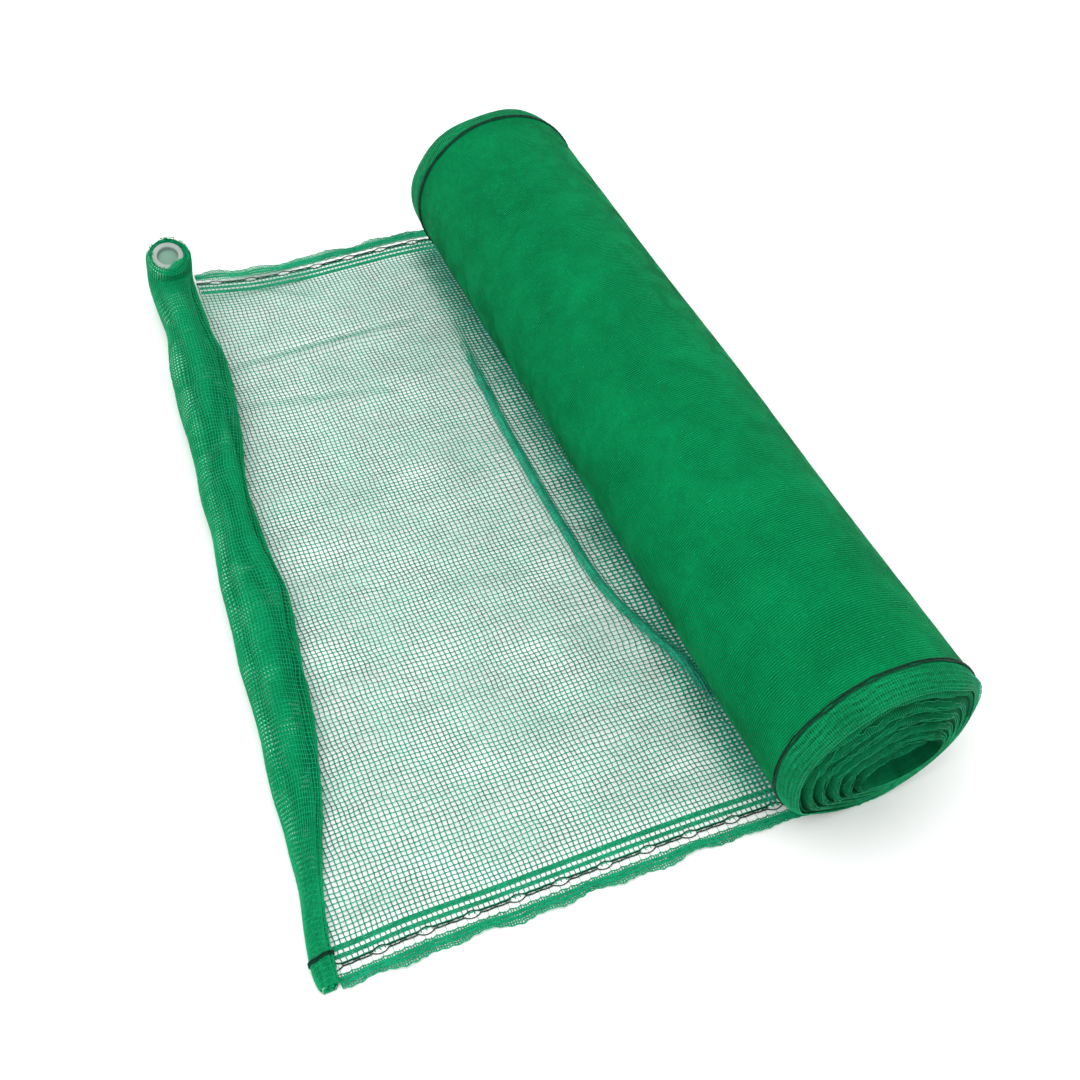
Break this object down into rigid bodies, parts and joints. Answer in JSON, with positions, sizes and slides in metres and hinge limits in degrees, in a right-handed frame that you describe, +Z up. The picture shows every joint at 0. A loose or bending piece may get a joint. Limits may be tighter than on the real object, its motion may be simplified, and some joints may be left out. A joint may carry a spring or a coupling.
{
  "type": "roll of debris netting",
  "caption": "Roll of green knitted netting with its free end laid out flat beside it, an eyeleted cord along each edge, and a small tube at the free end.",
  "frame": {"origin": "on the floor under the middle of the roll", "axes": "+Y along the roll toward its far end, +Z up, the laid netting toward -X"},
  "size_m": [0.677, 1.0981, 0.2211],
  "materials": {
    "wound_net": "knitted, matte",
    "laid_mesh": "open knitted mesh, matte",
    "edge_band": "close knitted, matte",
    "edge_cord": "laid-in cord, matte",
    "tube": "smooth"
  },
  "bodies": {
    "root": {"main_roll": "wound_net", "roll_cord_near": "edge_cord", "roll_cord_far": "edge_cord", "net_sheet": "laid_mesh", "edge_band_near": "edge_band", "edge_band_far": "edge_band", "eyelet_cord_near": "edge_cord", "eyelet_cord_far": "edge_cord", "free_end_roll": "wound_net", "free_end_cord": "edge_cord", "core_tube": "tube", "core_plug": "tube"}
  },
  "joints": []
}
